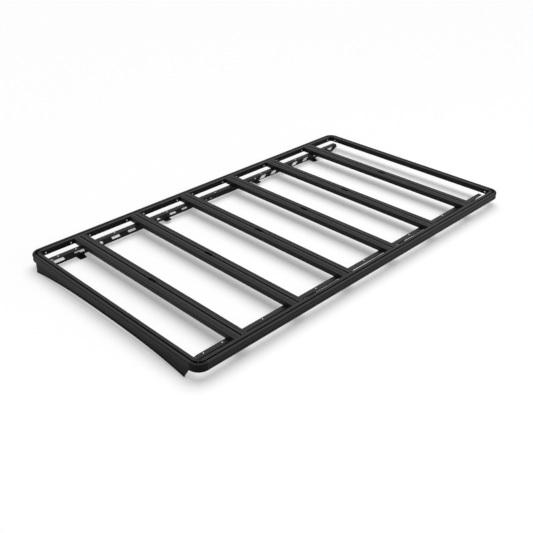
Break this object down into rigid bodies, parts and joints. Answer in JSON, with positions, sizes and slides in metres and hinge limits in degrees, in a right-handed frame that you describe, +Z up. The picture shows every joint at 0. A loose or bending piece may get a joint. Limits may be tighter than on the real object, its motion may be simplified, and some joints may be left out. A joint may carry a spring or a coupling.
{
  "type": "flat platform roof rack",
  "caption": "Flat vehicle roof platform with slotted perimeter rails, slotted cross slats, perforated side plates, feet and a wind deflector.",
  "frame": {"origin": "on the floor under the middle of the rack's box", "axes": "+X to the rack's right-hand side, +Y to the rear of the vehicle, +Z up"},
  "size_m": [1.426, 2.538, 0.09],
  "materials": {
    "coated_extrusion": "satin black powder coat",
    "coated_steel": "matt black powder coat",
    "corner_moulding": "moulded black plastic",
    "rubber_edge": "black rubber",
    "steel_bolts": "plain steel"
  },
  "bodies": {
    "root": {"front_rail": "coated_extrusion", "rear_rail": "coated_extrusion", "left_rail": "coated_extrusion", "right_rail": "coated_extrusion", "corner_front_left": "corner_moulding", "corner_front_right": "corner_moulding", "corner_rear_left": "corner_moulding", "corner_rear_right": "corner_moulding", "slat_1": "coated_extrusion", "slat_2": "coated_extrusion", "slat_3": "coated_extrusion", "slat_4": "coated_extrusion", "slat_5": "coated_extrusion", "slat_6": "coated_extrusion", "left_plate_front": "coated_steel", "left_plate_rear": "coated_steel", "right_plate_front": "coated_steel", "right_plate_rear": "coated_steel", "left_foot_1": "coated_steel", "left_foot_2": "coated_steel", "left_foot_3": "coated_steel", "left_foot_4": "coated_steel", "right_foot_1": "coated_steel", "right_foot_2": "coated_steel", "right_foot_3": "coated_steel", "right_foot_4": "coated_steel", "wind_deflector": "coated_steel", "deflector_seal": "rubber_edge"}
  },
  "joints": []
}
